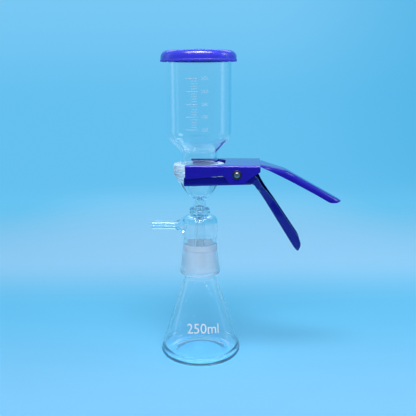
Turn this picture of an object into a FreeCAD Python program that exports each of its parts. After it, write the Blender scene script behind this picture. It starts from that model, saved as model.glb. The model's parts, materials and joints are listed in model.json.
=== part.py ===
import FreeCAD, Part

import math
import os

from FreeCAD import Vector

# Vacuum filtration unit for 47 mm membranes: a lidded funnel cup and a filter base, held flange to flange
# by a spring clamp, on a conical flask. Millimetres, +Z up. The origin is the centre of the flask's foot,
# the clamp's handles point along +X and the hose arm along -X.

# ---- flask ----
FLASK_HEIGHT = 139.8  # foot to the top of the ground joint
FLASK_WALL = 2.1
FLASK_FLOOR = 3.2
HEEL_RADIUS = 7.9
HEEL_INNER_RADIUS = 10.0
FOOT_DISH = 1.6  # how far the middle of the foot is pushed up
FOOT_RING_WIDTH = 6.5  # the flat ring that the flask stands on
NECK_LENGTH = 6.0  # from the cone's top to the ground joint
CONE_STEP = 0.4  # how much wider the cone's top is than the neck
CONE_SLOPE = 0.3325  # radius gained for each millimetre down the cone
NECK_GROOVE = 1.0  # depth of the groove under the ground joint
NECK_GROOVE_LENGTH = 2.4

# ---- ground joint, taper 1 in 10 on the diameter ----
JOINT_LARGE_R = 20.0
JOINT_LENGTH = 38.0
JOINT_TAPER = 0.05  # radius lost for each millimetre up
JOINT_FIT = 0.05  # radial gap between the two ground faces
JOINT_WALL = 2.3  # of the flask's neck
SOCKET_WALL = 3.1

# ---- filter base ----
BASE_RISE = 89.2  # from the flask's top to the ground face that the funnel stands on
FLANGE_R = 30.0
BASE_FLANGE_RIM = 6.4  # height of the flange's cylindrical rim
BASE_CONE_SLOPE = 1.5  # height lost for each millimetre of radius under the flange
BASE_WALL = 2.8
BOWL_R = 13.0  # where the cone turns in to the stem
BOWL_DROP = 4.0  # height of that turn
STEM_R = 7.1
STEM_BORE_R = 3.5
SEAL_RISE = 5.7  # from the cap's top to the middle of the ring seal's bead
SEAL_R = 12.0
SEAL_HALF_HEIGHT = 3.8
SEAL_WAIST_R = 10.4
CAP_R = 21.1
CAP_WALL = 2.3
CAP_RISE = 33.9  # from the flask's top to the cap's
CAP_CROWN = 1.6  # how much lower the cap's shoulder is than its middle
CAP_FOOT_RISE = 6.2  # from the flask's top to the foot of the cap's straight wall
LIP_WIDTH = 4.1  # from the joint's large end to the outside of the lip
LIP_HEIGHT = 5.2
LIP_FLARE = 5.0  # height over which the socket's wall flares out to the lip
LIP_RISE = 0.8  # the lip stands this far above the joint's large end
DRIP_R = 6.5
DRIP_REACH = 31.8  # how far the drip tube's end is below the flask's top
DRIP_CUT_ANGLE = 40.0

# ---- hose arm ----
ARM_RISE = 20.9  # from the flask's top to the arm's axis
ARM_TIP_X = -57.4
ARM_R = 4.5
ARM_BORE_R = 2.5
BARB_COUNT = 3
BARB_PITCH = 6.5
BARB_HEIGHT = 0.6
ARM_FLARE_R = 10.5
ARM_FLARE_LENGTH = 14.0

# ---- frit disc ----
FRIT_R = 20.0
FRIT_THICKNESS = 4.0
FRIT_FIT = 0.05

# ---- funnel cup ----
CUP_R = 37.2
CUP_WALL = 2.5
CUP_HEIGHT = 131.0  # ground face to the top of the rim
CUP_NECK_R = 21.3
CUP_NECK_HEIGHT = 20.6
SHOULDER_SLOPE = 0.95  # height gained for each millimetre of radius
RIM_BEAD = 1.4  # how far the fire-polished rim stands out
RIM_BEAD_HEIGHT = 5.5

# ---- lid ----
LID_FIT = 2.05  # between the skirt and the funnel's rim
LID_HEIGHT = 14.3
LID_WALL = 2.2
LID_EDGE_RADIUS = 7.6
LID_CROWN = 2.2
LID_LIP = 0.45
LID_LIP_HEIGHT = 1.9

# ---- clamp: heights are from the face where the two flanges meet ----
SHEET = 1.8
SEAT_GAP = 0.3  # between a jaw and the flange that it closes on
PIVOT_X = 44.6
PIVOT_Z = -2.2
PIN_R = 3.0
PIN_FIT = 0.05
PIN_PROUD = 1.3  # how far the pin's rounded end stands out of its retainer
RETAINER_R = 5.2
RETAINER_THICKNESS = 1.4
RETAINER_GAP = 0.1
CLAMP_OVERHANG = 5.0  # of the upper jaw beyond the flanges, on each side
NESTING_GAP = 0.4  # between the walls of the two jaws
UPPER_TIP_X = -13.4
LOWER_TIP_X = -15.0
JAW_END_X = 70.6
UPPER_TOP_Z = 8.0
LOWER_TIP_Z = -16.2  # underside of the lower jaw at its tip
LOWER_RISE = 0.0337  # its slope up towards the handle
JAW_EDGE_RADIUS = 2.6
SLOT_END_X = 30.5
SLOT_CORNER_RADIUS = 17.0
UPPER_SLOT_HALF_WIDTH = 26.5
PIVOT_LOBE_R = 11.0
EAR_R = 7.6  # the lower jaw's ears round the pin
HANDLE_EDGE_RADIUS = 7.0  # of the upper handle, which is pressed nearly half round
ROOT_LENGTH = 10.0  # how far a handle's outline is carried back into its jaw
TIP_STRETCH = 1.25  # length of a handle's rounded tip over its half width
GRIP_HALF_WIDTH = 12.5
UPPER_HANDLE_TIP_X = 166.4
LOWER_BEND_X = 62.9
LOWER_HANDLE_LENGTH = 100.0
LOWER_HANDLE_ANGLE = 58.2
BEND_RADIUS = 5.0

# ---- torsion spring ----
WIRE_R = 0.9
SPRING_TURNS = 8.5
SPRING_PITCH = 1.9
SPRING_FIT = 1.5  # between the coil and the pin
SPRING_REACH = 14.0  # how far along the lower handle the spring's leg bears
SPRING_LEG = 30.0  # length of the leg that bears on the upper jaw
SPRING_LEG_RISE = 0.6

# ---- sizes that follow from the ones above ----
JOINT_LARGE_Z = FLASK_HEIGHT - JOINT_LENGTH
CONE_TOP_Z = JOINT_LARGE_Z - NECK_LENGTH
JOINT_SMALL_R = JOINT_LARGE_R - JOINT_TAPER * JOINT_LENGTH
NECK_R = JOINT_LARGE_R - NECK_GROOVE
CONE_TOP_R = NECK_R + CONE_STEP
LIP_R = JOINT_LARGE_R + LIP_WIDTH
LIP_Z = JOINT_LARGE_Z + LIP_RISE
DRIP_END_Z = FLASK_HEIGHT - DRIP_REACH
CAP_FOOT_Z = FLASK_HEIGHT + CAP_FOOT_RISE
ARM_Z = FLASK_HEIGHT + ARM_RISE
CAP_TOP_Z = FLASK_HEIGHT + CAP_RISE
SEAL_Z = CAP_TOP_Z + SEAL_RISE
BASE_TOP_Z = FLASK_HEIGHT + BASE_RISE
CUP_NECK_TOP_Z = BASE_TOP_Z + CUP_NECK_HEIGHT
FUNNEL_TOP_Z = BASE_TOP_Z + CUP_HEIGHT
SKIRT_R = CUP_R + RIM_BEAD + LID_FIT + LID_WALL
UPPER_UNDERSIDE_Z = UPPER_TOP_Z - SHEET
CUP_FLANGE_THICKNESS = UPPER_UNDERSIDE_Z - SEAT_GAP
UPPER_HALF_WIDTH = FLANGE_R + CLAMP_OVERHANG
LOWER_HALF_WIDTH = UPPER_HALF_WIDTH - SHEET - NESTING_GAP
FAR = 90.0  # past the edge of anything that a tool solid has to cross

AXIS = Vector(0, 0, 1)
ORIGIN = Vector(0, 0, 0)


# ---- outlines ----
def side_point(u, v):
    return Vector(u, 0, v)


def plan_point(u, v):
    return Vector(u, v, 0)


def corner_arc(before, corner, after, radius):
    """The start, middle and end of the arc that rounds a corner."""
    to_before = (before - corner).normalize()
    to_after = (after - corner).normalize()
    half = to_before.getAngle(to_after) / 2
    middle_way = (to_before + to_after).normalize()
    centre = corner + middle_way * (radius / math.sin(half))
    reach = radius / math.tan(half)
    return corner + to_before * reach, centre - middle_way * radius, corner + to_after * reach


def outline(corners, point=side_point, closed=True):
    """A wire of straight lines through (u, v) or (u, v, radius) corners, the latter rounded by an arc."""
    places = [point(c[0], c[1]) for c in corners]
    radii = [c[2] if len(c) > 2 else 0 for c in corners]
    ends = []
    arcs = []
    for i, (place, radius) in enumerate(zip(places, radii)):
        if radius:
            start, middle, end = corner_arc(places[i - 1], place, places[(i + 1) % len(places)], radius)
            arcs.append(Part.Arc(start, middle, end).toShape())
            ends.append((start, end))
        else:
            ends.append((place, place))
    edges = list(arcs)
    last = len(places) if closed else len(places) - 1
    for i in range(last):
        a = ends[i][1]
        b = ends[(i + 1) % len(places)][0]
        if a.distanceToPoint(b) > 1e-6:
            edges.append(Part.LineSegment(a, b).toShape())
    return Part.Wire(Part.__sortEdges__(edges))


def revolved(corners, base=ORIGIN, axis=AXIS):
    return Part.Face(outline(corners)).revolve(base, axis, 360)


def across(corners, half_width=FAR):
    """A side outline made into a solid that runs from -half_width to half_width in Y."""
    face = Part.Face(outline(corners))
    face.translate(Vector(0, -half_width, 0))
    return face.extrude(Vector(0, 2 * half_width, 0))


def upright(wire, low, high):
    """A plan outline made into a solid between two heights."""
    face = Part.Face(wire)
    face.translate(Vector(0, 0, low))
    return face.extrude(Vector(0, 0, high - low))


# ---- flask ----
def cone_radius(z):
    """Outer radius of the flask's cone at a height."""
    return CONE_TOP_R + CONE_SLOPE * (CONE_TOP_Z - z)


def cone_height(radius):
    return CONE_TOP_Z - (radius - CONE_TOP_R) / CONE_SLOPE


def heel_reach():
    """How far in from the cone's outline the rounding of the heel meets the floor."""
    half_corner = (math.pi / 2 - math.atan(CONE_SLOPE)) / 2
    return HEEL_RADIUS / math.tan(half_corner)


def flask():
    ring_r = cone_radius(0) - heel_reach() - FOOT_RING_WIDTH
    dish_r = ring_r - 5 * FOOT_DISH
    sideways = FLASK_WALL * math.hypot(1, CONE_SLOPE)
    bore_top = JOINT_SMALL_R - JOINT_WALL
    bore_low = JOINT_LARGE_R - JOINT_WALL
    neck_bore = NECK_R - FLASK_WALL
    return revolved(
        [
            (0, FOOT_DISH),
            (dish_r, FOOT_DISH, 18),
            (ring_r, 0, 18),
            (cone_radius(0), 0, HEEL_RADIUS),
            (NECK_R, cone_height(NECK_R), 5),
            (NECK_R, JOINT_LARGE_Z - NECK_GROOVE_LENGTH, 0.7),
            (JOINT_LARGE_R, JOINT_LARGE_Z, 0.7),
            (JOINT_SMALL_R, FLASK_HEIGHT, 0.9),
            (bore_top, FLASK_HEIGHT, 0.9),
            (bore_low, JOINT_LARGE_Z + 1, 6),
            (neck_bore, cone_height(NECK_R) + 1, 5),
            (cone_radius(FLASK_FLOOR) - sideways, FLASK_FLOOR, HEEL_INNER_RADIUS),
            (0, FLASK_FLOOR),
        ]
    )


# ---- filter base ----
def base_cone_z(radius):
    """Height of the underside cone at a radius."""
    return BASE_TOP_Z - BASE_FLANGE_RIM - BASE_CONE_SLOPE * (FLANGE_R - radius)


def base_cone_radius(z):
    """Radius of the underside cone at a height."""
    return FLANGE_R - (BASE_TOP_Z - BASE_FLANGE_RIM - z) / BASE_CONE_SLOPE


def socket_radius(z):
    """Radius of the ground socket at a height."""
    return JOINT_LARGE_R + JOINT_FIT - JOINT_TAPER * (z - JOINT_LARGE_Z)


def base_outside():
    """Everything within the base's outer surface, from the flange down to the lip."""
    joint_top = FLASK_HEIGHT
    bowl_z = base_cone_z(BOWL_R)
    lip_top = LIP_Z + LIP_HEIGHT
    flare_top = lip_top + LIP_FLARE
    return revolved(
        [
            (0, BASE_TOP_Z),
            (FLANGE_R, BASE_TOP_Z, 0.8),
            (FLANGE_R, BASE_TOP_Z - BASE_FLANGE_RIM, 2.4),
            (BOWL_R, bowl_z, 10),
            (STEM_R, bowl_z - BOWL_DROP, 3),
            (STEM_R, SEAL_Z + SEAL_HALF_HEIGHT, 1.4),
            (SEAL_R, SEAL_Z + SEAL_HALF_HEIGHT, 3.4),
            (SEAL_R, SEAL_Z - SEAL_HALF_HEIGHT, 1.2),
            (SEAL_WAIST_R, SEAL_Z - SEAL_HALF_HEIGHT, 0.3),
            (SEAL_WAIST_R, CAP_TOP_Z, 0.8),
            (CAP_R, CAP_TOP_Z - CAP_CROWN, 8),
            (CAP_R, CAP_FOOT_Z, 14),
            (socket_radius(joint_top) + SOCKET_WALL * 0.6, joint_top + 1.5, 7),
            (socket_radius(flare_top) + SOCKET_WALL, flare_top, 12),
            (LIP_R, lip_top, 3),
            (LIP_R, LIP_Z, 2.2),
            (0, LIP_Z),
        ]
    )


def cap_cavity():
    """The space inside the cap and the socket, round the drip tube and under its end."""
    inside = CAP_R - CAP_WALL
    return revolved(
        [
            (0, LIP_Z - 1),
            (socket_radius(LIP_Z - 1), LIP_Z - 1),
            (socket_radius(FLASK_HEIGHT + 1), FLASK_HEIGHT + 1, 2),
            (inside, CAP_FOOT_Z + 2, 6),
            (inside, CAP_TOP_Z - CAP_CROWN - CAP_WALL, 6.5),
            (DRIP_R, CAP_TOP_Z - CAP_WALL, 2.2),
            (DRIP_R, DRIP_END_Z),
            (0, DRIP_END_Z),
        ]
    )


def stem_bore():
    """The way down from under the frit disc, through the cone and the stem, to the drip tube's end."""
    ledge_r = FRIT_R - 2
    ledge_z = BASE_TOP_Z - FRIT_THICKNESS
    inner_rim_z = ledge_z - 2.2
    bowl_z = base_cone_z(BOWL_R)
    return revolved(
        [
            (0, DRIP_END_Z - 1),
            (STEM_BORE_R, DRIP_END_Z - 1),
            (STEM_BORE_R, bowl_z - BOWL_DROP + BASE_WALL, 3),
            (BOWL_R - BASE_WALL, bowl_z + BASE_WALL / 2, 7),
            (ledge_r, inner_rim_z, 2),
            (ledge_r, ledge_z),
            (FRIT_R + FRIT_FIT, ledge_z),
            (FRIT_R + FRIT_FIT, BASE_TOP_Z + 1),
            (0, BASE_TOP_Z + 1),
        ]
    )


def arm_outside():
    """The hose arm: ripples that grip a hose, then a trumpet that flows into the cap."""
    corners = [(ARM_TIP_X, 0), (ARM_TIP_X, ARM_R, 1)]
    for i in range(BARB_COUNT):
        crest = ARM_TIP_X + 4 + i * BARB_PITCH
        corners.append((crest, ARM_R + BARB_HEIGHT, 1.6))
        corners.append((crest + BARB_PITCH / 2, ARM_R, 1.6))
    corners.append((-CAP_R - ARM_FLARE_LENGTH / 2, ARM_R + 0.2, 14))
    corners.append((-CAP_R + 3, ARM_FLARE_R))
    corners.append((-CAP_R + 8, ARM_FLARE_R))
    corners.append((-CAP_R + 8, 0))
    arm = revolved(corners, axis=Vector(1, 0, 0))
    arm.translate(Vector(0, 0, ARM_Z))
    return arm


def arm_bore():
    """A straight bore that opens out where the arm flows into the cap."""
    along_x = Vector(1, 0, 0)
    length = -ARM_TIP_X - CAP_R + CAP_WALL + 2
    bore = Part.makeCylinder(ARM_BORE_R, length, Vector(ARM_TIP_X - 1, 0, ARM_Z), along_x)
    mouth_r = ARM_FLARE_R - CAP_WALL
    mouth = Part.makeCone(ARM_BORE_R, mouth_r, 8, Vector(-CAP_R - 4, 0, ARM_Z), along_x)
    return bore.fuse(mouth)


def drip_cut():
    """Takes the drip tube's end off at a slant, so that it sheds drops on one side."""
    size = 4 * DRIP_R
    block = Part.makeBox(size, size, size, Vector(-size / 2, -size / 2, -size))
    block.rotate(ORIGIN, Vector(0, 1, 0), DRIP_CUT_ANGLE)
    block.translate(Vector(0, 0, DRIP_END_Z + DRIP_R * math.tan(math.radians(DRIP_CUT_ANGLE))))
    return block


def filter_base():
    drip_tip = drip_cut().common(Part.makeCylinder(DRIP_R + 0.5, 2 * DRIP_R, Vector(0, 0, DRIP_END_Z - 1)))
    body = base_outside().fuse(arm_outside())
    for hollow in (cap_cavity(), stem_bore(), arm_bore(), drip_tip):
        body = body.cut(hollow)
    return body


def frit_disc():
    low = BASE_TOP_Z - FRIT_THICKNESS
    return revolved([(0, low), (FRIT_R, low), (FRIT_R, BASE_TOP_Z, 0.4), (0, BASE_TOP_Z)])


# ---- funnel ----
def funnel_cup():
    shoulder_z = CUP_NECK_TOP_Z + SHOULDER_SLOPE * (CUP_R - CUP_NECK_R)
    inner_lift = CUP_WALL * (math.hypot(1, SHOULDER_SLOPE) - SHOULDER_SLOPE)
    bead_z = FUNNEL_TOP_Z - RIM_BEAD_HEIGHT
    flange_z = BASE_TOP_Z + CUP_FLANGE_THICKNESS
    return revolved(
        [
            (CUP_NECK_R - CUP_WALL, BASE_TOP_Z, 0.6),
            (FLANGE_R, BASE_TOP_Z, 0.8),
            (FLANGE_R, flange_z, 1.6),
            (CUP_NECK_R, flange_z, 0.8),
            (CUP_NECK_R, CUP_NECK_TOP_Z, 4),
            (CUP_R, shoulder_z, 16),
            (CUP_R, bead_z, 1),
            (CUP_R + RIM_BEAD, bead_z + 0.9, 1),
            (CUP_R + RIM_BEAD, FUNNEL_TOP_Z, 1.4),
            (CUP_R - CUP_WALL, FUNNEL_TOP_Z, 1.4),
            (CUP_R - CUP_WALL, shoulder_z + inner_lift, 13.5),
            (CUP_NECK_R - CUP_WALL, CUP_NECK_TOP_Z + inner_lift, 6),
        ]
    )


def funnel_lid():
    top = FUNNEL_TOP_Z + SEAT_GAP + LID_WALL
    low = top + LID_CROWN - LID_HEIGHT
    inside = SKIRT_R - LID_WALL
    return revolved(
        [
            (0, top + LID_CROWN),
            (SKIRT_R, top - 0.3, LID_EDGE_RADIUS),
            (SKIRT_R, low + LID_LIP_HEIGHT, 0.3),
            (SKIRT_R + LID_LIP, low + LID_LIP_HEIGHT, 0.2),
            (SKIRT_R + LID_LIP, low, 0.5),
            (inside, low, 0.5),
            (inside, top - LID_WALL, 4),
            (CUP_R - CUP_WALL - 3, top - LID_WALL, 1),
            (CUP_R - CUP_WALL - 6, top - LID_WALL + LID_CROWN, 1),
            (0, top - LID_WALL + LID_CROWN),
        ]
    )


# ---- clamp jaws ----
def shifted(path, distance):
    """A bent line moved to its left by a distance, with its bends kept concentric."""
    points = [side_point(c[0], c[1]) for c in path]
    ways = [(b - a).normalize() for a, b in zip(points, points[1:])]
    lefts = [Vector(-w.z, 0, w.x) for w in ways]
    moved = []
    for i, point in enumerate(points):
        before = lefts[max(i - 1, 0)]
        after = lefts[min(i, len(lefts) - 1)]
        miter = (before + after).normalize()
        place = point + miter * (distance / miter.dot(after))
        corner = [place.x, place.z]
        if len(path[i]) > 2:
            bends_left = before.dot(ways[i]) > 0
            corner.append(path[i][2] + (-distance if bends_left else distance))
        moved.append(tuple(corner))
    return moved


def web_edges(block, far_z):
    """The edges where a block's web meets its sides, which a press leaves rounded."""
    chosen = []
    for edge in block.Edges:
        box = edge.BoundBox
        along_y = box.XLength < 1e-4 and box.ZLength < 1e-4
        along_z = box.XLength < 1e-4 and box.YLength < 1e-4
        on_far_plane = abs(box.ZMin - far_z) < 1e-4 or abs(box.ZMax - far_z) < 1e-4
        if not (along_y or along_z or on_far_plane):
            chosen.append(edge)
    return chosen


def form(path, plan, far_z, edge_radius):
    """A block under (or over) a bent line, trimmed to a plan outline and rounded along its web."""
    side = across(path + [(path[-1][0], far_z), (path[0][0], far_z)])
    block = side.common(upright(plan, -abs(far_z), abs(far_z)))
    return block.makeFillet(edge_radius, web_edges(block, far_z))


def pressed(path, plan, side, edge_radius):
    """A sheet pressed over a form: its web follows path, and its walls point down (side -1) or up (1)."""
    far_z = 2 * FAR * side
    outer = form(path, plan(0), far_z, edge_radius)
    inner = form(shifted(path, side * SHEET), plan(SHEET), far_z, edge_radius - SHEET)
    return outer.cut(inner)


def channel_plan(tip_x, end_x, half_width):
    """The plan of a channel that is open at both ends."""

    def plan(inset):
        over = 2 if inset else 0
        w = half_width - inset
        corners = [(tip_x - over, -w), (end_x + over, -w), (end_x + over, w), (tip_x - over, w)]
        return outline(corners, plan_point)

    return plan


def tip_arc(centre_x, reach, half_width):
    """Half an ellipse that closes a handle's tip."""
    centre = plan_point(centre_x, 0)
    ellipse = Part.Ellipse(plan_point(centre_x + reach, 0), plan_point(centre_x, half_width), centre)
    return Part.ArcOfEllipse(ellipse, -math.pi / 2, math.pi / 2).toShape()


def handle_plan(waist, tip_x):
    """The plan of a tongue that narrows through the waist's (x, half width) points to a rounded tip."""

    def plan(inset):
        left = [plan_point(x, w - inset) for x, w in waist]
        left[0].x -= ROOT_LENGTH + inset
        half_width = left[-1].y
        centre_x = tip_x - GRIP_HALF_WIDTH * TIP_STRETCH
        left.append(plan_point(centre_x, half_width))
        side = Part.BSplineCurve()
        side.interpolate(left[1:-1], InitialTangent=left[1] - left[0], FinalTangent=Vector(1, 0, 0))
        edges = [Part.LineSegment(left[0], left[1]).toShape(), side.toShape()]
        edges.append(Part.LineSegment(left[-2], left[-1]).toShape())
        edges += [edge.mirror(ORIGIN, Vector(0, 1, 0)) for edge in edges]
        edges.append(Part.LineSegment(left[0], plan_point(left[0].x, -left[0].y)).toShape())
        edges.append(tip_arc(centre_x, tip_x - inset - centre_x, half_width))
        return Part.Wire(Part.__sortEdges__(edges))

    return plan


def slot(half_width, low, high):
    """The cut that lets a jaw slide round the glass, open at the jaw's tip."""
    corners = [
        (LOWER_TIP_X - 5, -half_width),
        (SLOT_END_X, -half_width, SLOT_CORNER_RADIUS),
        (SLOT_END_X, half_width, SLOT_CORNER_RADIUS),
        (LOWER_TIP_X - 5, half_width),
    ]
    return upright(outline(corners, plan_point), low, high)


def pin_hole():
    return Part.makeCylinder(PIN_R + PIN_FIT, 2 * FAR, Vector(PIVOT_X, -FAR, PIVOT_Z), Vector(0, 1, 0))


# ---- upper jaw ----
def jaw_channel(path, half_width, side):
    """The jaw itself, before its walls are trimmed: a channel open at both ends."""
    ends = channel_plan(path[0][0], path[-1][0], half_width)
    over = [(path[0][0] - 4, path[0][1]), (path[-1][0] + 4, path[-1][1])]
    return pressed(over, ends, side, JAW_EDGE_RADIUS)


def handle(path, trim, waist, tip_x, side, edge_radius):
    """The handle: a tongue of the jaw's web, pressed into a channel whose depth is trimmed from the side."""
    return pressed(path, handle_plan(waist, tip_x), side, edge_radius).common(across(trim))


def upper_jaw():
    web_end = JAW_END_X + 2
    lobe_z = PIVOT_Z - PIVOT_LOBE_R
    walls = [
        (UPPER_TIP_X - 3, UPPER_TOP_Z + 5),
        (UPPER_TIP_X - 3, -7.8),
        (PIVOT_X - PIVOT_LOBE_R - 3, -3, 5),
        (PIVOT_X - PIVOT_LOBE_R + 2, lobe_z, 9),
        (PIVOT_X + PIVOT_LOBE_R - 3.5, lobe_z, 9),
        (PIVOT_X + PIVOT_LOBE_R + 2, -7.4, 5),
        (web_end, 2.4),
        (web_end, UPPER_TOP_Z + 5),
    ]
    trim = [
        (60, FAR),
        (60, UPPER_UNDERSIDE_Z),
        (69, UPPER_UNDERSIDE_Z),
        (82.3, -0.3, 20),
        (94.1, -6.5, 60),
        (134.7, -28.2, 60),
        (151, -37.6, 12),
        (159, -37.8, 12),
        (UPPER_HANDLE_TIP_X + 5, -34.5),
        (UPPER_HANDLE_TIP_X + 5, FAR),
    ]
    path = [(55, UPPER_TOP_Z), (70.5, UPPER_TOP_Z, 30), (100, 0.1, 30), (UPPER_HANDLE_TIP_X + 5, -40.1)]
    waist = [(70.8, 27), (74, 24), (80, 21), (89, 17.5), (99, 14.5), (110, GRIP_HALF_WIDTH)]
    channel = jaw_channel([(UPPER_TIP_X, UPPER_TOP_Z), (JAW_END_X, UPPER_TOP_Z)], UPPER_HALF_WIDTH, -1)
    body = channel.common(across(walls))
    body = body.fuse(handle(path, trim, waist, UPPER_HANDLE_TIP_X, -1, HANDLE_EDGE_RADIUS))
    body = body.cut(slot(UPPER_SLOT_HALF_WIDTH, UPPER_TOP_Z - 6, UPPER_TOP_Z + 1))
    return body.cut(pin_hole()).removeSplitter()


# ---- lower jaw ----
def lower_handle():
    """Made with its web level and its bend at the origin, then turned down about the bend."""
    angle = math.radians(LOWER_HANDLE_ANGLE) + math.atan(LOWER_RISE)
    root = (-8 * math.cos(angle), -8 * math.sin(angle))
    path = [root, (0, 0, BEND_RADIUS), (LOWER_HANDLE_LENGTH + 5, 0)]
    trim = [
        (-20, -30),
        (-20, 12),
        (-5, 7.6, 4),
        (8, 6.8, 12),
        (30, 9.0, 60),
        (84, 11.0, 20),
        (92.5, 8.8, 12),
        (LOWER_HANDLE_LENGTH - 1.6, 2.4, 4),
        (LOWER_HANDLE_LENGTH + 3, -0.5),
        (LOWER_HANDLE_LENGTH + 3, -30),
    ]
    waist = [(1, LOWER_HALF_WIDTH), (6, 27), (13, 19.5), (21, 14.6), (32, GRIP_HALF_WIDTH)]
    tongue = handle(path, trim, waist, LOWER_HANDLE_LENGTH, 1, JAW_EDGE_RADIUS)
    tongue.rotate(ORIGIN, Vector(0, 1, 0), LOWER_HANDLE_ANGLE)
    tongue.translate(side_point(LOWER_BEND_X, lower_web_z(LOWER_BEND_X)))
    return tongue


def lower_web_z(x):
    """Underside of the lower jaw."""
    return LOWER_TIP_Z + LOWER_RISE * (x - LOWER_TIP_X)


def lower_jaw():
    bend_start = LOWER_BEND_X - BEND_RADIUS * math.tan(math.radians(LOWER_HANDLE_ANGLE / 2))
    walls = [
        (LOWER_TIP_X - 3, -29),
        (LOWER_TIP_X - 3, -6),
        (PIVOT_X - EAR_R - 2, -4.4),
        (LOWER_BEND_X + 2, -4.4, 2),
        (LOWER_BEND_X + 4.6, -5.8),
        (bend_start + 0.2, lower_web_z(bend_start) + SHEET),
        (bend_start, -29),
    ]
    ears = Part.makeCylinder(EAR_R, 2 * FAR, Vector(PIVOT_X, -FAR, PIVOT_Z), Vector(0, 1, 0))
    path = [(x, lower_web_z(x)) for x in (LOWER_TIP_X, LOWER_BEND_X + 8)]
    body = jaw_channel(path, LOWER_HALF_WIDTH, 1).common(across(walls).fuse(ears))
    body = body.fuse(lower_handle())
    cone_r = base_cone_radius(BASE_TOP_Z + lower_web_z(0) + SHEET)
    body = body.cut(slot(cone_r + 1.2 * SEAT_GAP, LOWER_TIP_Z - 6, LOWER_TIP_Z + 8))
    return body.cut(pin_hole()).removeSplitter()


# ---- pin, retainers and spring ----
def pivot_stack():
    """Y of the outer faces that the retainers bear on."""
    return UPPER_HALF_WIDTH + RETAINER_GAP


def clamp_pivot_pin():
    end = pivot_stack() + RETAINER_THICKNESS + PIN_PROUD
    pin = Part.makeCylinder(PIN_R, 2 * end, Vector(PIVOT_X, -end, PIVOT_Z), Vector(0, 1, 0))
    rims = [edge for edge in pin.Edges if edge.BoundBox.YLength < 0.01]
    return pin.makeFillet(0.8 * PIN_PROUD, rims)


def pin_retainer(side):
    """A push-on ring round the pin's end, dished away from the jaw. side is -1 in front and 1 at the back."""
    start = pivot_stack()
    end = start + RETAINER_THICKNESS
    ring = revolved(
        [
            (PIN_R, start),
            (RETAINER_R, start, 0.3),
            (RETAINER_R, start + RETAINER_THICKNESS * 0.6, 0.6),
            (PIN_R + 0.7, end, 0.4),
            (PIN_R, end),
        ]
    )
    ring.rotate(ORIGIN, Vector(1, 0, 0), -90 * side)
    ring.translate(Vector(PIVOT_X, 0, PIVOT_Z))
    return ring


def wire_along(path):
    """Round wire swept along a wire path."""
    start = path.Edges[0]
    at = start.valueAt(start.FirstParameter)
    way = start.tangentAt(start.FirstParameter)
    if path.OrderedVertexes[0].Point.distanceToPoint(at) > 1e-4:
        at = start.valueAt(start.LastParameter)
        way = start.tangentAt(start.LastParameter)
    section = Part.Wire(Part.Circle(at, way, WIRE_R).toShape())
    return Part.Wire(path.OrderedEdges).makePipeShell([section], True, False)


def spring_leg(corners, y):
    leg = wire_along(outline(corners, closed=False))
    leg.translate(Vector(0, y, 0))
    return leg


def clamp_spring():
    """The torsion spring: close turns round the pin, and a leg that bears on the web of each handle."""
    radius = PIN_R + SPRING_FIT + WIRE_R
    length = SPRING_TURNS * SPRING_PITCH
    coil = wire_along(Part.Wire(Part.makeHelix(SPRING_PITCH, length, radius)))
    coil.rotate(ORIGIN, AXIS, 90)
    coil.rotate(ORIGIN, Vector(1, 0, 0), -90)
    coil.translate(Vector(PIVOT_X, -length / 2, PIVOT_Z))
    angle = math.radians(LOWER_HANDLE_ANGLE)
    down_handle = Vector(math.cos(angle), 0, -math.sin(angle))
    off_handle = Vector(math.sin(angle), 0, math.cos(angle))
    bend = side_point(LOWER_BEND_X, lower_web_z(LOWER_BEND_X))
    rest = bend + down_handle * SPRING_REACH + off_handle * (SHEET + WIRE_R + SEAT_GAP)
    knee = rest - down_handle * (SPRING_REACH + 1)
    start_x = PIVOT_X - WIRE_R
    low_corners = [(start_x, PIVOT_Z - radius), (knee.x, knee.z, 3), (rest.x, rest.z)]
    high_corners = [(start_x, PIVOT_Z + radius), (PIVOT_X + SPRING_LEG, PIVOT_Z + radius + SPRING_LEG_RISE)]
    low_leg = spring_leg(low_corners, -length / 2)
    high_leg = spring_leg(high_corners, length / 2)
    return coil.fuse([low_leg, high_leg])


def main():
    os.makedirs("parts", exist_ok=True)
    glassware = {
        "flask": flask(),
        "filter_base": filter_base(),
        "frit_disc": frit_disc(),
        "funnel_cup": funnel_cup(),
        "funnel_lid": funnel_lid(),
    }
    clamp = {
        "clamp_upper_jaw": upper_jaw(),
        "clamp_lower_jaw": lower_jaw(),
        "clamp_pivot_pin": clamp_pivot_pin(),
        "pin_retainer_front": pin_retainer(-1),
        "pin_retainer_back": pin_retainer(1),
        "clamp_spring": clamp_spring(),
    }
    for piece in clamp.values():
        piece.translate(Vector(0, 0, BASE_TOP_Z))
    for name, piece in (glassware | clamp).items():
        piece.exportStep("parts/" + name + ".step")


main()
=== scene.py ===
import json
import math

import bmesh
import bpy
from mathutils import Euler, Matrix, Vector
from mathutils.bvhtree import BVHTree


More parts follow.
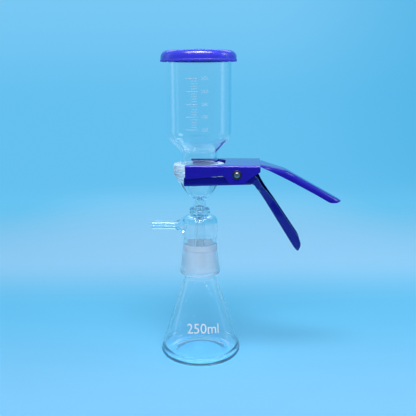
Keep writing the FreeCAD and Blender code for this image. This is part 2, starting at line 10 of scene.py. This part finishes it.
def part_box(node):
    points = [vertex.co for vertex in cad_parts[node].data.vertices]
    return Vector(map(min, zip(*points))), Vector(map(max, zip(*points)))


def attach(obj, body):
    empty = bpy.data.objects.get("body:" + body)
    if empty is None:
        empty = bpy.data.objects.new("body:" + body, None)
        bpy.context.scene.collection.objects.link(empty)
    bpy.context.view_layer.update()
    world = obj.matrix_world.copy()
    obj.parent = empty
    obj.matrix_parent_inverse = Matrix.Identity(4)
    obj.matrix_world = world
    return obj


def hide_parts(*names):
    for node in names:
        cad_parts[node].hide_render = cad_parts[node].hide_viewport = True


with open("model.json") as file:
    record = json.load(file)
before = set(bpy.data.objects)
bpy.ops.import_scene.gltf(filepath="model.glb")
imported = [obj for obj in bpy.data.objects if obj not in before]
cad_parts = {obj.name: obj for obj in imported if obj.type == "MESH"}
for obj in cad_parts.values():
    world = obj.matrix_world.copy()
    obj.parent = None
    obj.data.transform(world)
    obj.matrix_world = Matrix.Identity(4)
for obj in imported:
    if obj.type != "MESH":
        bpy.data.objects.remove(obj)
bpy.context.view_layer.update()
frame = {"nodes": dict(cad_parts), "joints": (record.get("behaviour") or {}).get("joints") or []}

# ---- the unit's own sizes, in metres ----
MM = 0.001
NODES = frame["nodes"]
PIVOT = Vector(frame["joints"][0]["pos_m"])

LID_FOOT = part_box("funnel_lid")[0].z
SEAT_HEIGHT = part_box("funnel_cup")[0].z  # where the two flanges meet
FLANGE_TOP = SEAT_HEIGHT + 7.5 * MM
FLANGE_FOOT = SEAT_HEIGHT - 14 * MM
FLANGE_RING_R = 22 * MM  # the flanges are ground outside this radius
GROUND_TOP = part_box("flask")[1].z
GROUND_LENGTH = 33 * MM  # the matt part of the taper joint
GROUND_FOOT = GROUND_TOP - GROUND_LENGTH
LIP_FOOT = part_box("filter_base")[0].z
SOCKET_FACE_R = 20.8 * MM  # between the socket's ground inner face and its clear outer one
CONE_FACE_R = 17.6 * MM  # between the flask's clear bore and its ground outer face
DRIP_TUBE_CLEARING_R = 9.5 * MM  # the drip tube inside this radius is clear

# ---- glass ----
GLASS_IOR = 1.47
GROUND_COVER = 0.4  # how much of the clear glass the matt skin hides
THROUGH_SHARE = 0.35  # of the matt skin's light that comes from its other side
LIP_COVER = 0.7  # of the matt skin, on the lip round the socket's mouth

# ---- spring ----
WIRE_R = 0.9 * MM
COIL_R = 5.4 * MM
COIL_TURNS = 8.5
COIL_PITCH = 1.9 * MM
COIL_LAP = 0.03  # turns by which the coil runs on into its legs
COIL_STEPS = 14  # points on each turn
# The bends of the legs, out from the pin and up, with the clamp closed.
LOW_LEG = ((-0.9 * MM, -5.4 * MM), (20.32 * MM, -8.94 * MM), (28.23 * MM, -21.69 * MM))
HIGH_LEG = ((-0.9 * MM, 5.4 * MM), (30.0 * MM, 6.0 * MM))

# ---- prints on the glass ----
FRONT = math.radians(4.8)  # the side of the glass that carries the prints, from -Y towards +X
PRINT_LIFT = 0.04 * MM
PRINT_THICKNESS = 0.02 * MM
STRIP_WIDTH = 1 * MM  # of the strips in which a flat print bends round the glass
MARKS = (100, 150, 200, 250, 300)
MARK_PITCH = 13.8 * MM
FIRST_MARK_HEIGHT = 276.7 * MM
MARK_RADIUS = 37.2 * MM
MARK_PARTS = 5  # from one numbered mark to the next
LONG_LINE = (-15 * MM, -1.5 * MM)  # its left and right ends
LONG_LINE_THICKNESS = 0.7 * MM
SHORT_LINE = (-8.5 * MM, -2.0 * MM)
SHORT_LINE_THICKNESS = 0.5 * MM
NUMBER_MIDDLE = 6.4 * MM
NUMBER_TALL = 3.6 * MM
VOLUME_MIDDLE = 3.0 * MM
VOLUME_TALL = 11.4 * MM
VOLUME_WIDE = 38.6 * MM
VOLUME_HEIGHT = 44.9 * MM
VOLUME_RADIUS = 36.4 * MM
FLASK_LEAN = math.radians(18.4)

# ---- studio, in metres ----
SWEEP_NEAR = 0.8
SWEEP_FAR = 1.1
SWEEP_BEND = 0.6
SWEEP_TOP = 2.6
SWEEP_HALF_WIDTH = 3.2
BEND_STEPS = 12
FLOOR_SHADOW = 0.7  # how much of the floor's colour takes the unit's shadow
WHITE = (1.0, 1.0, 1.0)
WARM_WHITE = (1.0, 0.96, 0.97)

# ---- camera ----
CAMERA_PLACE = (0.0595, -0.7106, 0.332)
CAMERA_PITCH = 78.1
CAMERA_YAW = 4.0
CAMERA_ROLL = -0.29
CAMERA_LENS = 53.28
CAMERA_SENSOR = 36.0
CAMERA_REACH = 20.0


class Value:
    """One socket of a shader. Python's operators add the Math nodes."""

    def __init__(self, finish, socket):
        self.finish = finish
        self.socket = socket

    def _maths(self, operation, first, second):
        return self.finish.node("Math", {"operation": operation}, {0: first, 1: second})

    def __add__(self, other):
        return self._maths("ADD", self, other)

    def __rsub__(self, other):
        return self._maths("SUBTRACT", other, self)

    def __mul__(self, other):
        return self._maths("MULTIPLY", self, other)

    def __pow__(self, other):
        return self._maths("POWER", self, other)

    __radd__ = __add__
    __rmul__ = __mul__

    def part(self, name):
        """Another output of the same node."""
        return Value(self.finish, self.socket.node.outputs[name])

    def ramp_up(self, low, high):
        """0 below low and 1 above high, with a smooth way between."""
        inputs = {"Value": self, "From Min": low, "From Max": high}
        return self.finish.node("MapRange", {"interpolation_type": "SMOOTHSTEP"}, inputs)

    def beyond(self, edge, soft):
        """0 before an edge and 1 past it."""
        return self.ramp_up(edge - soft, edge + soft)


class Finish:
    """The shader of a material, or of the studio round the unit, in the making."""

    def __init__(self, owner):
        owner.use_nodes = True
        self.owner = owner
        self.tree = owner.node_tree
        self.tree.nodes.clear()

    def node(self, kind, settings=None, inputs=None, output=0):
        made = self.tree.nodes.new("ShaderNode" + kind)
        for name, value in (settings or {}).items():
            setattr(made, name, value)
        for name, value in (inputs or {}).items():
            socket = made.inputs[name]
            if isinstance(value, Value):
                self.tree.links.new(value.socket, socket)
            else:
                socket.default_value = value
        return Value(self, made.outputs[output])

    def skin(self, **inputs):
        """A Principled shader. Its sockets' names have _ for their spaces."""
        sockets = {name.replace("_", " "): value for name, value in inputs.items()}
        return self.node("BsdfPrincipled", inputs=sockets)

    def clear(self, red, green, blue):
        """What lets light straight through, and tints it."""
        return self.node("BsdfTransparent", inputs={"Color": rgb(red, green, blue)})

    def over(self, factor, under, upper):
        """One shader over another, which it hides where factor is 1."""
        return self.node("MixShader", inputs={0: factor, 1: under, 2: upper})

    def show(self, shader):
        is_material = isinstance(self.owner, bpy.types.Material)
        output = "OutputMaterial" if is_material else "OutputWorld"
        made = self.tree.nodes.new("ShaderNode" + output)
        self.tree.links.new(shader.socket, made.inputs["Surface"])
        return self.owner

    def place(self):
        """Where a point is on the unit, in metres."""
        return self.node("TexCoord", output="Object")

    def axes(self, vector):
        split = self.node("SeparateXYZ", inputs={0: vector})
        return split, split.part("Y"), split.part("Z")

    def height(self):
        return self.axes(self.place())[2]

    def from_axis(self):
        """Distance from the glassware's upright axis."""
        x, y, z = self.axes(self.place())
        return (x * x + y * y) ** 0.5

    def between(self, low, high, soft):
        """1 from one height to another, and 0 outside them."""
        height = self.height()
        return height.beyond(low, soft) * (1 - height.beyond(high, soft))

    def noise(self, scale, detail=4.0, stretch=(1, 1, 1)):
        vector = self.node("Mapping", inputs={"Vector": self.place(), "Scale": stretch})
        return self.node("TexNoise", inputs={"Vector": vector, "Scale": scale, "Detail": detail})

    def blend(self, factor, first, second):
        """A colour between two colours."""
        return self.node("Mix", {"data_type": "RGBA"}, {0: factor, 6: first, 7: second}, output=2)

    def bump(self, height, distance, strength=1.0):
        inputs = {"Height": height, "Distance": distance, "Strength": strength}
        return self.node("Bump", inputs=inputs)


def new_finish(name):
    return Finish(bpy.data.materials.new(name))


def rgb(red, green, blue):
    return (red, green, blue, 1.0)


# ---- finishes ----
def clear_glass(name, ground, deep_tint):
    """Blown borosilicate glass. ground(finish) is 1 where it's ground matt, and deep_tint is the
    colour of light that has gone round and round in a thick wall. The flask throws a deeper
    shadow than the glass over it."""
    finish = new_finish(name)
    ripple = finish.bump(finish.noise(22.0, detail=1.0), 0.12 * MM, 0.25)
    tint = finish.blend(finish.noise(9.0), rgb(0.985, 0.985, 0.985), rgb(1.0, 0.99, 0.985))
    smear = finish.noise(60.0).ramp_up(0.62, 0.8) * 0.03
    glass = finish.skin(
        Transmission_Weight=1.0,
        IOR=GLASS_IOR,
        Base_Color=tint,
        Roughness=smear,
        Normal=ripple,
    )
    glass = finish.over(ground(finish) * GROUND_COVER, glass, ground_skin(finish))
    above_body = finish.height().beyond(GROUND_FOOT - 20 * MM, 10 * MM)
    shadow = finish.over(above_body, finish.clear(0.58, 0.76, 0.87), finish.clear(0.95, 0.98, 1.0))
    shadow_rays = finish.node("LightPath", output="Is Shadow Ray")
    glass = finish.over(shadow_rays, glass, shadow)
    trapped = shadow_rays.part("Glossy Depth").ramp_up(2.2, 2.8)
    return finish.show(finish.over(trapped, glass, finish.clear(*deep_tint)))


def ground_skin(finish):
    """Glass ground with fine grit: pale and matt, and some light comes through it."""
    grit = finish.noise(5200.0, detail=2.0)
    pale = finish.blend(grit, rgb(0.6, 0.68, 0.77), rgb(0.72, 0.8, 0.88))
    grain = finish.bump(grit, 0.04 * MM, 0.6)
    matt = finish.skin(Base_Color=pale, Roughness=0.65, Normal=grain, Specular_IOR_Level=0.0)
    through = finish.node("BsdfTranslucent", inputs={"Color": rgb(0.79, 0.9, 1.0)})
    return finish.over(THROUGH_SHARE, matt, through)


def ground_flange(finish):
    """The flanges' rims are ground true in the lathe, which leaves fine rings."""
    rings = finish.noise(60.0, detail=3.0, stretch=(0.2, 0.2, 14)).ramp_up(0.35, 0.65)
    rim = finish.from_axis().beyond(FLANGE_RING_R, 0.4 * MM)
    return finish.between(FLANGE_FOOT, FLANGE_TOP, 1.0 * MM) * rim * (0.5 + 1.7 * rings)


def ground_base(finish):
    """The filter base's flange, and its socket, which is ground on its inner face only."""
    inner_face = 1 - finish.from_axis().beyond(SOCKET_FACE_R, 0.2 * MM)
    past_tube = finish.from_axis().beyond(DRIP_TUBE_CLEARING_R, 0.5 * MM)
    socket = finish.between(GROUND_FOOT, GROUND_TOP, 0.6 * MM) * inner_face * past_tube
    lip = finish.between(LIP_FOOT, GROUND_FOOT, 1.0 * MM) * LIP_COVER
    return socket + lip + ground_flange(finish)


def ground_cone(finish):
    """The flask's neck is ground on its outer face only."""
    outer_face = finish.from_axis().beyond(CONE_FACE_R, 0.2 * MM)
    return finish.between(GROUND_FOOT, GROUND_TOP - 1 * MM, 0.6 * MM) * outer_face


def sintered_glass():
    finish = new_finish("sintered_glass")
    grain = finish.noise(2600.0, detail=6.0)
    colour = finish.blend(grain, rgb(0.72, 0.76, 0.78), rgb(0.9, 0.92, 0.92))
    bump = finish.bump(grain, 0.1 * MM)
    return finish.show(finish.skin(Base_Color=colour, Roughness=0.75, Normal=bump))


def lid_plastic():
    """Moulded blue plastic, glossy but for its lowest edge, where fingers rub it dull."""
    finish = new_finish("lid_plastic")
    flow = finish.noise(14.0, detail=2.0)
    skin = finish.noise(5000.0)
    rubbed = 1 - finish.height().ramp_up(LID_FOOT + 1.5 * MM, LID_FOOT + 3 * MM)
    colour = finish.blend(flow, rgb(0.034, 0.032, 0.62), rgb(0.048, 0.044, 0.7))
    roughness = 0.19 + skin * 0.04 + rubbed * 0.3
    return finish.show(finish.skin(Base_Color=colour, Roughness=roughness, IOR=1.55))


def blue_anodised(name, dark, light):
    """Pressed sheet, dyed blue: faint drawing lines along the part under a glossy seal."""
    finish = new_finish(name)
    lines = finish.noise(1500.0, detail=3.0, stretch=(0.02, 1, 1))
    metal = finish.skin(
        Base_Color=finish.blend(finish.noise(35.0), dark, light),
        Metallic=0.12,
        Specular_IOR_Level=0.1,
        Roughness=0.3 + lines * 0.14,
        Coat_Weight=1.0,
        Coat_IOR=1.37,
        Coat_Roughness=0.05,
        Normal=finish.bump(lines, 0.02 * MM, 0.5),
    )
    return finish.show(metal)


def bright_steel(name, colour, roughness):
    finish = new_finish(name)
    turned = finish.noise(1800.0, stretch=(1, 0.05, 1))
    steel = finish.skin(
        Base_Color=finish.blend(turned, rgb(*colour), rgb(*(0.8 * share for share in colour))),
        Metallic=1.0,
        Roughness=roughness + turned * 0.1,
        Normal=finish.bump(turned, 0.01 * MM, 0.4),
    )
    return finish.show(steel)


def blackened_steel():
    finish = new_finish("blackened_steel")
    wear = finish.noise(420.0)
    colour = finish.blend(wear, rgb(0.003, 0.003, 0.004), rgb(0.012, 0.012, 0.016))
    return finish.show(finish.skin(Base_Color=colour, Roughness=0.4 + wear * 0.2))


def white_enamel(name, share):
    """The fired print: thin, so that some of the glass shows through it."""
    finish = new_finish(name)
    wear = finish.noise(1300.0)
    enamel = finish.skin(
        Base_Color=finish.blend(wear, rgb(0.82, 0.84, 0.9), rgb(0.93, 0.93, 0.96)),
        Roughness=0.5 + wear * 0.2,
        Alpha=share + wear * 0.05,
    )
    return finish.show(enamel)


def paint(material, *nodes):
    for node in nodes:
        mesh = NODES[node].data
        mesh.materials.clear()
        mesh.materials.append(material)


def paint_cad_nodes():
    upper_blue = blue_anodised("upper_jaw_blue", rgb(0.01, 0.006, 0.34), rgb(0.018, 0.01, 0.42))
    # the lower jaw is the same dyed sheet as the upper; its darker blue is painted shade, where it
    # sits in the upper jaw's shade
    lower_blue_painted_shade = blue_anodised("lower_jaw_blue_painted_shade", rgb(0.003, 0.003, 0.21), rgb(0.006, 0.006, 0.28))
    paint(clear_glass("funnel_glass", ground_flange, (0.9, 0.95, 1.0)), "funnel_cup")
    paint(clear_glass("filter_base_glass", ground_base, (0.85, 0.9, 0.95)), "filter_base")
    paint(clear_glass("flask_glass", ground_cone, (0.6, 0.6, 0.64)), "flask")
    paint(sintered_glass(), "frit_disc")
    paint(lid_plastic(), "funnel_lid")
    paint(upper_blue, "clamp_upper_jaw")
    paint(lower_blue_painted_shade, "clamp_lower_jaw")
    paint(bright_steel("pin_steel", (0.5, 0.5, 0.52), 0.25), "clamp_pivot_pin")
    paint(blackened_steel(), "pin_retainer_front", "pin_retainer_back")


def add_piece(name, mesh, body, material):
    mesh.materials.append(material)
    piece = bpy.data.objects.new(name, mesh)
    bpy.context.scene.collection.objects.link(piece)
    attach(piece, body)
    return piece


# ---- torsion spring ----
def round_wire(name, route):
    """A mesh tube of the spring's wire along a smooth route."""
    curve = bpy.data.curves.new(name, "CURVE")
    curve.dimensions = "3D"
    spline = curve.splines.new("NURBS")
    spline.points.add(len(route) - 1)
    for point, place in zip(spline.points, route):
        point.co = (*place, 1.0)
    spline.use_endpoint_u = True
    spline.order_u = 4
    spline.resolution_u = 4
    curve.bevel_depth = WIRE_R
    curve.bevel_resolution = 4
    curve.use_fill_caps = True
    mesh = bpy.data.meshes.new_from_object(bpy.data.objects.new(name, curve))
    for face in mesh.polygons:
        face.use_smooth = True
    return mesh


def coil_route():
    """Close turns round the pin. They start at the front, on the side of the lower handle."""
    radius = COIL_R / math.cos(math.pi / COIL_STEPS) ** 0.67  # the smooth wire cuts its corners
    first = -COIL_LAP
    last = COIL_TURNS + COIL_LAP
    count = round((last - first) * COIL_STEPS)
    route = []
    for step in range(count + 1):
        turn = first + (last - first) * step / count
        along = COIL_PITCH * (min(max(turn, 0), COIL_TURNS) - COIL_TURNS / 2)
        angle = 2 * math.pi * turn
        out = Vector((-radius * math.sin(angle), along, -radius * math.cos(angle)))
        route.append(PIVOT + out)
    return route


def leg_route(along, *corners):
    """Straight lengths of wire with a round bend at each corner."""
    places = [PIVOT + Vector((x, along, z)) for x, z in corners]
    route = [places[0]]
    for before, after in zip(places, places[1:]):
        route += [before.lerp(after, share) for share in (0.1, 0.3, 0.5, 0.7, 0.9)]
    route.append(places[-1])
    return route


def build_spring():
    wire = bright_steel("spring_wire", (0.4, 0.4, 0.41), 0.3)
    end = COIL_TURNS * COIL_PITCH / 2
    parts = (
        ("spring_coil", coil_route(), "glassware"),
        ("spring_low_leg", leg_route(-end, *LOW_LEG), "lower_jaw"),
        ("spring_high_leg", leg_route(end, *HIGH_LEG), "upper_jaw"),
    )
    for name, route, body in parts:
        piece = add_piece(name, round_wire(name, route), body, wire)
        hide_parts("clamp_spring")


# ---- prints ----
def node_surface(node):
    mesh = NODES[node].data
    corners = [vertex.co.copy() for vertex in mesh.vertices]
    return BVHTree.FromPolygons(corners, [tuple(face.vertices) for face in mesh.polygons])


def add_lettering(sheet, text, centre, tall, wide=None):
    """Adds a word to a flat sheet, with its middle at centre."""
    curve = bpy.data.curves.new("lettering", "FONT")
    curve.body = text
    curve.resolution_u = 4
    flat = bpy.data.meshes.new_from_object(bpy.data.objects.new("lettering", curve))
    xs = [vertex.co.x for vertex in flat.vertices]
    ys = [vertex.co.y for vertex in flat.vertices]
    upright = tall / (max(ys) - min(ys))
    level = wide / (max(xs) - min(xs)) if wide else upright
    for vertex in flat.vertices:
        x = (vertex.co.x - (max(xs) + min(xs)) / 2) * level + centre[0]
        y = (vertex.co.y - (max(ys) + min(ys)) / 2) * upright + centre[1]
        vertex.co = (x, y, 0)
    sheet.from_mesh(flat)


def add_line(sheet, ends, y, thickness):
    left, right = ends
    low, high = y - thickness / 2, y + thickness / 2
    corners = ((left, low), (right, low), (right, high), (left, high))
    sheet.faces.new([sheet.verts.new((*corner, 0)) for corner in corners])


def slice_sheet(sheet):
    """Cuts a flat sheet into narrow strips, so that it can bend round the glass."""
    xs = [vertex.co.x for vertex in sheet.verts]
    cut = min(xs) + STRIP_WIDTH
    while cut < max(xs):
        everything = sheet.verts[:] + sheet.edges[:] + sheet.faces[:]
        place, across = (cut, 0, 0), (1, 0, 0)
        bmesh.ops.bisect_plane(sheet, geom=everything, plane_co=place, plane_no=across)
        cut += STRIP_WIDTH


def roll(x, y, radius, lean):
    """A flat transfer laid on a cylinder, or on a cone that leans in: the turn and the rise of
    one of its points."""
    if not lean:
        return x / radius, y
    from_tip = radius / math.sin(lean)
    turn = math.atan2(x, from_tip - y) / math.sin(lean)
    return turn, (from_tip - math.hypot(x, from_tip - y)) * math.cos(lean)


def wrap(sheet, node, radius, middle_height, lean):
    """Lays a flat sheet on the outside of a node: x runs round it, and y up its wall."""
    surface = node_surface(node)
    well_outside = 0.2
    for vertex in sheet.verts:
        turn, rise = roll(vertex.co.x, vertex.co.y, radius, lean)
        outward = Vector((math.sin(FRONT + turn), -math.cos(FRONT + turn), 0))
        start = outward * well_outside + Vector((0, 0, middle_height + rise))
        place, normal, face, distance = surface.ray_cast(start, -outward)
        vertex.co = place + outward * PRINT_LIFT


def print_on(name, sheet, node, radius, middle_height, lean, material):
    slice_sheet(sheet)
    wrap(sheet, node, radius, middle_height, lean)
    mesh = bpy.data.meshes.new(name)
    sheet.to_mesh(mesh)
    sheet.free()
    piece = add_piece(name, mesh, "glassware", material)
    film = piece.modifiers.new("film", "SOLIDIFY")
    film.thickness = PRINT_THICKNESS
    film.offset = 1.0


def print_graduations():
    sheet = bmesh.new()
    for step, mark in enumerate(MARKS):
        height = step * MARK_PITCH
        add_line(sheet, LONG_LINE, height, LONG_LINE_THICKNESS)
        add_lettering(sheet, str(mark), (NUMBER_MIDDLE, height), NUMBER_TALL)
        if mark < MARKS[-1]:
            for part in range(1, MARK_PARTS):
                rise = height + part * MARK_PITCH / MARK_PARTS
                add_line(sheet, SHORT_LINE, rise, SHORT_LINE_THICKNESS)
    enamel = white_enamel("graduation_enamel", 0.2)
    print_on("graduations", sheet, "funnel_cup", MARK_RADIUS, FIRST_MARK_HEIGHT, 0.0, enamel)


def print_volume():
    sheet = bmesh.new()
    add_lettering(sheet, "250ml", (VOLUME_MIDDLE, 0), VOLUME_TALL, VOLUME_WIDE)
    enamel = white_enamel("volume_enamel", 0.85)
    print_on("flask_volume", sheet, "flask", VOLUME_RADIUS, VOLUME_HEIGHT, FLASK_LEAN, enamel)


# ---- stage ----
# The blues of the studio paper, from the near floor to the top of the backdrop: painted light and
# shade on one paper.
NEAR_BLUE = rgb(0.23, 0.61, 0.94)
FLOOR_BLUE = rgb(0.15, 0.58, 0.91)
LIGHT_POOL_BLUE = rgb(0.31, 0.69, 0.99)
MIDDLE_LIGHT_BLUE = rgb(0.38, 0.7, 1.0)
WALL_BLUE = rgb(0.13, 0.53, 0.87)
RIGHT_SHADE_BLUE = rgb(0.085, 0.46, 0.79)
TOP_BLUE = rgb(0.19, 0.58, 0.91)
SKY_BLUE = rgb(0.155, 0.53, 0.88)


def seen_rays(finish):
    """1 for the rays that look at the studio, directly or in metal and glass, and 0 for those
    that light the unit."""
    paths = finish.node("LightPath", output="Is Camera Ray")
    total = paths + paths.part("Is Glossy Ray") + paths.part("Is Transmission Ray")
    return finish.node("Clamp", inputs={"Value": total})


def sweep_paper():
    """Blue studio paper with painted light and shade: paler close by, painted light behind the
    unit, painted shade up on the right.
    """
    finish = new_finish("sweep_paper")
    across, out, up = finish.axes(finish.place())
    along = out + up  # out along the floor, and then up the backdrop
    # paler near the camera, darker up the backdrop and a little paler at its top: painted light
    # and shade
    shade = finish.blend(along.ramp_up(-0.15, 0.15), NEAR_BLUE, FLOOR_BLUE)
    shade = finish.blend(along.ramp_up(0.5, 1.3), shade, WALL_BLUE)
    shade = finish.blend(along.ramp_up(1.8, 2.4), shade, TOP_BLUE)
    # a painted pool of light across the paper behind the unit
    light_pool = along.ramp_up(0.15, 0.4) * (1 - along.ramp_up(0.35, 0.9))
    shade = finish.blend(light_pool, shade, LIGHT_POOL_BLUE)
    # painted shade up on the right of the backdrop
    right = across.ramp_up(0.15, 0.95) * along.ramp_up(0.7, 1.5)
    shade = finish.blend(right * 0.8, shade, RIGHT_SHADE_BLUE)
    # a painted pool of light in the middle of the backdrop
    middle = 1 - (across * across).ramp_up(0.0, 0.25)
    middle_light = along.ramp_up(0.2, 0.6) * (1 - along.ramp_up(0.7, 1.3)) * middle
    shade = finish.blend(middle_light * 0.4, shade, MIDDLE_LIGHT_BLUE)
    lit = FLOOR_SHADOW * (1 - along.ramp_up(0.3, 1.0))
    black = rgb(0, 0, 0)
    paper = finish.skin(Base_Color=shade, Roughness=0.9, Specular_IOR_Level=0.1)
    glowing = finish.skin(
        Base_Color=finish.blend(lit, black, shade),
        Emission_Color=finish.blend(lit, shade, black),
        Emission_Strength=1.0,
        Roughness=0.9,
        Specular_IOR_Level=0.0,
    )
    return finish.show(finish.over(seen_rays(finish), paper, glowing))


def build_sweep():
    """Floor and backdrop in one sheet, curved where they meet."""
    profile = [(-SWEEP_NEAR, 0.0), (SWEEP_FAR, 0.0)]
    for step in range(1, BEND_STEPS + 1):
        angle = math.radians(90 * step / BEND_STEPS)
        out = SWEEP_FAR + SWEEP_BEND * math.sin(angle)
        profile.append((out, SWEEP_BEND * (1 - math.cos(angle))))
    profile.append((SWEEP_FAR + SWEEP_BEND, SWEEP_TOP))
    sides = (-SWEEP_HALF_WIDTH, SWEEP_HALF_WIDTH)
    mesh = bpy.data.meshes.new("sweep")
    sheet = bmesh.new()
    rows = [[sheet.verts.new((x, y, z)) for x in sides] for y, z in profile]
    for near, far in zip(rows, rows[1:]):
        sheet.faces.new((near[0], near[1], far[1], far[0])).smooth = True
    sheet.to_mesh(mesh)
    sheet.free()
    mesh.materials.append(sweep_paper())
    sweep = bpy.data.objects.new("sweep", mesh)
    sweep.rotation_euler = (0, 0, math.radians(CAMERA_YAW))
    bpy.context.scene.collection.objects.link(sweep)


def add_softbox(name, place, aim, size, power, colour=WHITE, lights=True, shines=True):
    """lights is for matt surfaces, and shines for its reflection in glossy ones."""
    lamp = bpy.data.lights.new(name, "AREA")
    lamp.shape = "RECTANGLE"
    lamp.size, lamp.size_y = size
    lamp.energy = power
    lamp.color = colour
    holder = bpy.data.objects.new(name, lamp)
    holder.location = place
    way = Vector(aim) - Vector(place)
    holder.rotation_euler = way.to_track_quat("-Z", "Y").to_euler()
    holder.visible_camera = False
    holder.visible_diffuse = lights
    holder.visible_glossy = shines
    holder.visible_transmission = shines
    bpy.context.scene.collection.objects.link(holder)


def studio_air():
    """The studio round the sweep: blue where it is seen, dark behind the camera where it is
    mirrored, and a soft white light."""
    finish = Finish(bpy.data.worlds.new("studio"))
    x, y, z = finish.axes(finish.node("TexCoord", output="Generated"))
    behind_camera = 1 - y.ramp_up(-0.9, 0.1)
    mirrored = finish.node("LightPath", output="Is Reflection Ray")
    shade = finish.blend(behind_camera * mirrored * 0.9, SKY_BLUE, rgb(0.01, 0.03, 0.08))
    seen = finish.node("Background", inputs={"Color": shade, "Strength": 1.0})
    white = {"Color": rgb(0.86, 0.94, 1.0), "Strength": 0.38}
    light = finish.node("Background", inputs=white)
    return finish.show(finish.over(seen_rays(finish), light, seen))


def light_studio():
    base = (0.02, 0.0, 0.15)
    above = (0.1, -0.95, 1.2)
    add_softbox("large_softbox", above, base, (1.45, 0.35), 8.0, shines=False)
    above = (0.05, -0.32, 1.22)
    add_softbox("gloss_softbox", above, base, (1.0, 0.34), 13.6, WARM_WHITE, lights=False)
    above = (0.05, -0.3, 1.2)
    add_softbox("key_softbox", above, base, (0.34, 0.22), 5.0, WARM_WHITE)
    behind = (0.0, 0.75, 1.0)
    add_softbox("back_softbox", behind, (0.0, 0.0, 0.2), (1.2, 0.3), 2.0, WARM_WHITE)
    right = (1.0, 0.1, 0.9)
    add_softbox("right_softbox", right, (0.12, 0.0, 0.2), (0.4, 0.4), 1.6)
    funnel = (0.0, 0.0, 0.4)
    add_softbox("left_card", (-1.2, 0.2, 0.56), funnel, (0.3, 1.1), 0.7, lights=False)
    add_softbox("right_card", (1.2, 0.2, 0.56), funnel, (0.25, 1.1), 0.4, lights=False)
    bpy.context.scene.world = studio_air()
    bpy.context.scene.view_settings.view_transform = "Standard"


def place_camera():
    camera = bpy.data.cameras.new("camera")
    camera.lens = CAMERA_LENS
    camera.sensor_width = CAMERA_SENSOR
    camera.clip_end = CAMERA_REACH
    holder = bpy.data.objects.new("camera", camera)
    holder.location = CAMERA_PLACE
    aim = Euler((math.radians(CAMERA_PITCH), 0, math.radians(CAMERA_YAW))).to_matrix()
    aim = aim @ Matrix.Rotation(math.radians(CAMERA_ROLL), 3, "Z")
    holder.rotation_euler = aim.to_euler()
    bpy.context.scene.collection.objects.link(holder)
    bpy.context.scene.camera = holder


paint_cad_nodes()
build_spring()
print_graduations()
print_volume()
build_sweep()
light_studio()
place_camera()
